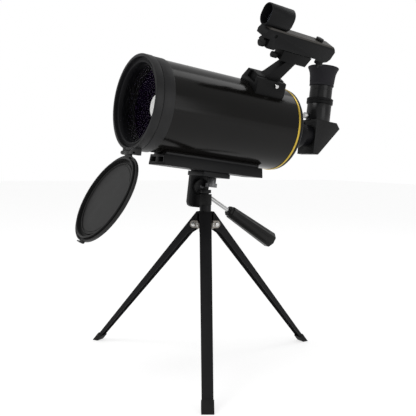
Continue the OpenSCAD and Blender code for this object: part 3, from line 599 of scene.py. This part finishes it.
def buildRetainer(shape):
    # Light grooves run round the bore, and a shallow channel runs round the flange
    bore, front, face, shoulder = shape["bore"], shape["front"], shape["flangeAt"], shape["shoulder"]
    radius, faceEnd, taper = shape["radius"], shape["flangeEnd"], shape["grooveTaper"]
    channelIn, channelOut = shape["channelIn"], shape["channelOut"]
    channel = face + shape["channelDepth"]
    grooves = []
    for count in range(shape["grooves"]):
        along = front - shape["grooveStart"] - count * shape["groovePitch"]
        floor, far = bore + shape["grooveDepth"], along - shape["grooveWidth"]
        grooves += [(bore, along), (floor, along - taper), (floor, far + taper), (bore, far)]
    ring = turned("lensRetainer", [(bore, front)] + grooves + [
        (bore, front - shape["flare"]), (bore + 2, face + 0.1), (bore + 2.4, face),
        (channelIn, face), (channelIn + 0.2, channel), (channelOut - 0.2, channel), (channelOut, face),
        (radius - 0.28, face), (radius, face + 0.3), (radius, faceEnd), (shoulder, faceEnd),
        (shoulder, front), (bore, front)], shape["steps"])
    hand(ring, lathePose, "telescope", "retainerAnodised", ["corrector_retainer"])


buildTube(tubeShape, trimShape)


# The corrector lens, its aluminised spot and the lining behind it, whose purple tint is a painted
# reflection of the lens coating
lensShape = {
    "front": -91.0, "edge": 6.8, "radius": 50.15, "aperture": 46.0, "seat": 46.55, "frontCurve": 105.0,
    "backCurve": 110.0, "rings": 18, "steps": 192, "smooth": 20,
}
spotShape = {"radius": 14.5, "thickness": 0.3, "gap": 0.05, "rings": 6, "steps": 96}
liningShape = {"radius": 54.45, "wall": 0.25, "start": -78.5, "end": 103.0, "steps": 192}


def dished(curve, rim, rimAt, fromRadius, toRadius, rings):
    # Points on a spherical face that sinks from its rim towards the middle
    depth = math.sqrt(curve ** 2 - rim ** 2)
    places = [fromRadius + (toRadius - fromRadius) * step / rings for step in range(rings + 1)]
    return [(radius, rimAt + math.sqrt(curve ** 2 - radius ** 2) - depth) for radius in places]


def buildLens(shape, spot, lining):
    front, back, seat = shape["front"], shape["front"] + shape["edge"], shape["seat"]
    outer = dished(shape["frontCurve"], shape["aperture"], front, 0, shape["aperture"], shape["rings"])
    inner = dished(shape["backCurve"], seat, back, seat, 0, shape["rings"])
    lens = turned("correctorLens", outer + [(shape["radius"], front), (shape["radius"], back)] + inner,
                  shape["steps"])
    hand(lens, lathePose, "telescope", "lensCoating", ["corrector_lens"],
         smooth=shape["smooth"])
    face, curve, rings = back + spot["gap"], shape["backCurve"], spot["rings"]
    outer = dished(curve, seat, face, 0, spot["radius"], rings)
    inner = dished(curve, seat, face + spot["thickness"], spot["radius"], 0, rings)
    mirror = turned("aluminisedSpot", outer + inner, spot["steps"])
    hand(mirror, lathePose, "telescope", "spotCoat", ["secondary_mirror"],
         smooth=shape["smooth"])
    outside, inside = lining["radius"], lining["radius"] - lining["wall"]
    start, end = lining["start"], lining["end"]
    # A thin sleeve inside the tube that carries the painted purple reflection of the lens coating
    sleeve = turned("tubeLiningWithPaintedReflection", [(outside, start), (outside, end), (inside, end), (inside, start),
                                   (outside, start)], lining["steps"])
    hand(sleeve, lathePose, "telescope", "liningPaintedReflection")
    print("lens is made")


buildLens(lensShape, spotShape, liningShape)


# The front cap, in its hinge's frame: Z runs from the hinge to the middle of the cap
capShape = {
    "rim": 57.5, "lip": 53.8, "bead": 46.5, "hub": 20, "seat": -1.0, "depth": 4.2, "centre": 60.5,
    "steps": 192, "tabHalf": 7.7, "tabLength": 8, "tabRounding": 0.35, "tabCrease": 40, "knuckle": 2.5,
    "knuckleStep": 15, "latchHalf": 4.5, "latchRise": 0.7, "latchDrop": 3.2, "latchReach": 3,
    "latchRounding": 0.3,
}


def capProfile(shape):
    # From the middle of the outer face, over the rim, to the lip and the bead on the inner face
    rim, lip, seat, bead = shape["rim"], shape["lip"], shape["seat"], shape["bead"]
    front = seat - shape["depth"]
    return [
        (0, front), (rim - 5, front), (rim - 1.2, front), (rim - 0.4, front + 0.3), (rim, front + 1.2),
        (rim, seat - 0.4), (rim - 0.4, seat), (rim - 1.5, seat), (rim - 1.9, seat - 0.4),
        (rim - 2.0, front + 2.3), (lip, front + 2.3), (lip, seat + 1.5), (lip - 0.5, seat + 2),
        (lip - 1.7, seat + 2), (lip - 2.2, seat + 1.5), (lip - 2.3, front + 0.9),
        (bead + 1.4, front + 0.9), (bead + 1.0, front + 2.7), (bead + 0.5, front + 3.0),
        (bead - 0.1, front + 2.8),
        (bead - 0.5, front + 1.5), (bead - 2.3, front + 1.5), (bead - 2.7, front + 2.0),
        (shape["hub"], front + 2.1), (0, front + 2.2)]


def buildCap(shape):
    disc = turned("frontCap", capProfile(shape), shape["steps"])
    applyPose(disc, move(0, 0, shape["centre"]) @ turn(-90, "X"))
    seat, front = shape["seat"], shape["seat"] - shape["depth"]
    knuckle, half, end = shape["knuckle"], shape["tabHalf"], shape["tabLength"]
    angles = [math.radians(degrees) for degrees in range(60, -200, -shape["knuckleStep"])]
    around = [(knuckle * math.cos(angle), knuckle * math.sin(angle)) for angle in angles]
    tab = plate("capTab", around + [(front + 0.4, 3.0), (front + 0.4, end), (seat - 0.1, end),
                                    (seat - 0.1, 3.2)], -half, half)
    roundEdges(tab, shape["tabRounding"], angle=shape["tabCrease"])
    half, top = shape["latchHalf"], shape["centre"] + shape["rim"] + shape["latchRise"]
    root, reach = top - shape["latchDrop"], seat + shape["latchReach"]
    latch = plate("capLatch", [(front + 1, root), (seat, root), (seat, top), (reach, top),
                               (reach, top + 1.4), (front + 2, top + 1.8), (front + 1, top + 0.8)],
                  -half, half)
    roundEdges(latch, shape["latchRounding"])
    cap = joinInto(disc, [tab, latch])
    hand(cap, capPose, "cap", "capPlastic", ["front_cap"])
    print("cap is made")


buildCap(capShape)


# The eyepiece, its holder's collar and the diagonal. Z runs up out of the diagonal
cupShape = {"base": 74.1, "top": 101.4, "bore": 14.6, "flare": 22.2, "smooth": 40, "steps": 128}
bodyShape = {"base": 56.0, "radius": 16.1, "bore": 12, "stem": 14.55, "beltAt": 11.6, "length": 18,
             "stemLength": 36, "steps": 128}
collarShape = {"base": 47.9, "top": 55.8, "bore": 15.925, "radius": 18.9, "grooveAt": 3.6, "steps": 128}
diagonalShape = {"reach": 190.0, "housingRounding": 0.5, "coverRounding": 0.3}


def buildEyepiece(pose, cup, body, collar):
    top, base, bore, flare = cup["top"], cup["base"], cup["bore"], cup["flare"]
    piece = turned("eyecup", [
        (bore, base), (17.0, base), (17.4, base + 0.4), (17.5, base + 2.2), (17.2, base + 2.7),
        (17.25, base + 3.4), (17.6, base + 5.4), (18.3, top - 13), (19.1, top - 8.5), (20.5, top - 4.6),
        (flare - 0.4, top - 2.2), (flare, top - 1.0), (flare - 0.1, top - 0.4), (flare - 0.6, top),
        (flare - 1.2, top - 0.1), (19.4, top - 3.2), (18.0, top - 6), (16.6, top - 8.2),
        (bore + 1, top - 9.2), (bore, top - 9.2), (bore, base)], cup["steps"])
    hand(piece, pose, "eyepiece", "softRubber", ["eyecup"], smooth=cup["smooth"])
    low, radius, bore, stem = body["base"], body["radius"], body["bore"], body["stem"]
    belt, end, stemEnd = low + body["beltAt"], low + body["length"], low + body["stemLength"]
    piece = turned("eyepieceBody", [
        (bore, low), (radius - 0.5, low), (radius, low + 0.4), (radius, belt),
        (radius - 0.25, belt + 0.3), (radius - 0.25, belt + 0.9), (radius, belt + 1.2),
        (radius, end - 0.4), (radius - 0.5, end),
        (stem, end), (stem, stemEnd), (bore, stemEnd), (bore, low)], body["steps"])
    hand(piece, pose, "eyepiece", "barrelAnodised", ["eyepiece_body"])
    low, top, bore, radius = collar["base"], collar["top"], collar["bore"], collar["radius"]
    groove = low + collar["grooveAt"]
    piece = turned("holderCollar", [
        (bore, low), (radius - 0.5, low), (radius, low + 0.4), (radius, groove),
        (radius - 0.35, groove + 0.3), (radius - 0.45, groove + 0.8), (radius, groove + 1.2),
        (radius, top - 0.4), (radius - 0.4, top), (bore, top), (bore, low)], collar["steps"])
    hand(piece, pose, "diagonal", "mouldedBlack", ["holder_collar"])


def buildDiagonal(shape):
    buildEyepiece(tubePose @ move(0, shape["reach"], 0), cupShape, bodyShape, collarShape)
    housing = softened("diagonal_housing", "diagonalHousing", shape["housingRounding"])
    hand(housing, None, "diagonal", "diagonalPaint", ["diagonal_housing"])
    cover = softened("diagonal_cover", "diagonalCover", shape["coverRounding"])
    hand(cover, None, "diagonal", "diagonalPaint", ["diagonal_cover"])
    print("eyepiece and diagonal are made")


buildDiagonal(diagonalShape)


# The handle grip, in its own frame: Z runs out along the rod
gripShape = {
    "start": 58.0, "length": 88.0, "facets": 8, "bore": 2.8, "boreDepth": 9, "neck": 7.4,
    "neckLength": 3.2, "inner": 8.8, "outer": 11.8, "rounding": 0.55, "roundingSteps": 3, "crease": 25,
    "smooth": 30, "slotDepth": 0.5, "slotWidth": 1.1, "slotMargin": 13, "slotLeanLength": 82.0,
}


def gripSlots(shape):
    # One thin cutter lies along the middle of each facet
    start, length, facets = shape["start"], shape["length"], shape["facets"]
    flat = math.cos(math.radians(180 / facets))
    reach = (shape["inner"] + shape["outer"]) / 2 * flat
    lean = math.atan2((shape["outer"] - shape["inner"]) * flat, shape["slotLeanLength"])
    size = (shape["slotDepth"] * 2 * mm, shape["slotWidth"] * mm,
            (length - 2 * shape["slotMargin"]) * mm)
    cutters = []
    for index in range(facets):
        letGo()
        bpy.ops.mesh.primitive_cube_add(size=1)
        cutter = bpy.context.object
        cutter.name = "gripSlot"
        applyPose(cutter, turn(360 / facets * index, "Z") @ move(reach, 0, start + length / 2)
                  @ Matrix.Rotation(lean, 4, "Y") @ Matrix.Diagonal((*size, 1)))
        cutters.append(cutter)
    return joinInto(cutters[0], cutters[1:])


def buildGrip(shape):
    start, end, neck = shape["start"], shape["start"] + shape["length"], shape["neck"]
    inner, outer, neckEnd = shape["inner"], shape["outer"], shape["start"] + shape["neckLength"]
    grip = turned("handleGrip", [
        (shape["bore"], start + shape["boreDepth"]), (shape["bore"], start), (neck - 0.8, start),
        (neck, start + 0.5), (neck, neckEnd), (inner - 0.9, neckEnd + 0.4), (inner, neckEnd + 1.4),
        ((inner + outer) / 2, (start + end) / 2), (outer, end - 2.4), (outer - 0.3, end - 1.2),
        (outer - 1.5, end - 0.3), (outer - 2.6, end), (0, end)], shape["facets"])
    applyPose(grip, turn(180 / shape["facets"], "Z"))
    roundEdges(grip, shape["rounding"], shape["roundingSteps"], shape["crease"])
    slots = gripSlots(shape)
    takeUp(grip)
    cut = grip.modifiers.new("slots", "BOOLEAN")
    cut.operation = "DIFFERENCE"
    cut.object = slots
    cut.solver = "EXACT"
    bpy.ops.object.modifier_apply(modifier=cut.name)
    bpy.data.objects.remove(slots)
    hand(grip, handlePose, "handle", "gripPlastic", ["handle_grip"],
         smooth=shape["smooth"])
    print("handle is made")


buildGrip(gripShape)


# Rounded copies of the cast, folded and moulded parts
roundedParts = [
    # CAD part, new piece, rounding in mm, finish, material slot, body
    ("dovetail_rail", "dovetailRail", 0.25, "railAnodised", "rail_black", "telescope"),
    ("finder_shoe", "finderShoe", 0.6, "mouldedBlack", "moulded_black", "telescope"),
    ("head_platform", "headPlatform", 0.8, "headCasting", "head_black", "telescope"),
    ("finder_block", "finderBlock", 0.5, "mouldedBlack", "moulded_black", "finder_swivel"),
    ("finder_body", "finderBody", 0.9, "finderShell", "moulded_black", "finder"),
    ("finder_cover", "finderCover", 0.7, "finderStrip", "finder_grey", "finder"),
    ("sight_tube", "sightTube", 0.5, "finderShell", "finder_grey", "finder"),
    ("leg_front", "legFront", 0.4, "legPaint", "leg_black", "front_leg"),
    ("leg_rear", "legRear", 0.4, "legPaint", "leg_black", "rear_leg"),
    ("leg_left", "legLeft", 0.4, "legPaint", "leg_black", "left_leg"),
    ("foot_front", "footFront", 0.8, "footRubber", "foot_rubber", "front_leg"),
    ("foot_rear", "footRear", 0.8, "footRubber", "foot_rubber", "rear_leg"),
    ("foot_left", "footLeft", 0.8, "footRubber", "foot_rubber", "left_leg"),
    ("finder_bracket", "finderBracket", 0.5, "mouldedBlack", "moulded_black", "finder_foot"),
    ("rear_cell", "rearCell", 0.5, "railAnodised", "ring_black", "telescope"),
    ("visual_back", "visualBack", 0.4, "retainerAnodised", "ring_black", "telescope"),
    ("tube_saddle", "tubeSaddle", 0.7, "ringAnodised", "ring_black", "telescope"),
    ("rail_screws", "railScrews", 0.2, "brightSteel", "steel", "telescope"),
    ("focus_knob", "focusKnob", 0.3, "knobPlastic", "knob_black", "focuser"),
    ("diagonal_nose", "diagonalNose", 0.3, "retainerAnodised", "diagonal_black", "diagonal"),
    ("eyepiece_holder", "eyepieceHolder", 0.3, "barrelAnodised", "diagonal_black", "diagonal"),
    ("visual_back_screw", "visualBackScrew", 0.15, "brightSteel", "screw_metal", "back_screw"),
    ("holder_screw", "holderScrew", 0.15, "brightSteel", "screw_metal", "eyepiece_lock"),
    ("camera_screw", "cameraScrew", 0.2, "wheelSteel", "screw_metal", "screw"),
    ("platform_pad", "platformPad", 0.3, "softRubber", "soft_rubber", "telescope"),
    ("tilt_bolt", "tiltBolt", 0.4, "darkSteel", "steel", "telescope"),
    ("pan_head", "panHead", 0.5, "headCasting", "head_black", "pan"),
    ("pan_collar", "panCollar", 0.25, "knobPlastic", "knob_black", "collar"),
    ("centre_post", "centrePost", 0.4, "headCasting", "leg_black", "tripod"),
    ("leg_bracket", "legBracket", 0.4, "zincCasting", "zinc", "tripod"),
    ("leg_rivets", "legRivets", 0.3, "brightSteel", "steel", "tripod"),
    ("azimuth_knob", "azimuthKnob", 0.2, "knobPlastic", "knob_black", "azimuth_adjuster"),
    ("altitude_knob", "altitudeKnob", 0.2, "knobPlastic", "knob_black", "altitude_adjuster"),
    ("finder_switch", "finderSwitch", 0.2, "knobPlastic", "knob_black", "dimmer"),
    ("battery_cap", "batteryCap", 0.3, "knobPlastic", "knob_black", "battery_lid"),
    ("secondary_baffle", "secondaryBaffle", 0.2, "baffleFlock", "baffle_black", "telescope"),
]


def buildRoundedParts(table):
    # The legs, their bracket and its rivets keep their flats unmerged
    for nodeName, name, width, finishName, slotName, body in table:
        piece = softened(nodeName, name, width, merge=not nodeName.startswith("leg_"))
        hand(piece, None, body, finishName, [nodeName])
    print("rounded parts are made")


buildRoundedParts(roundedParts)
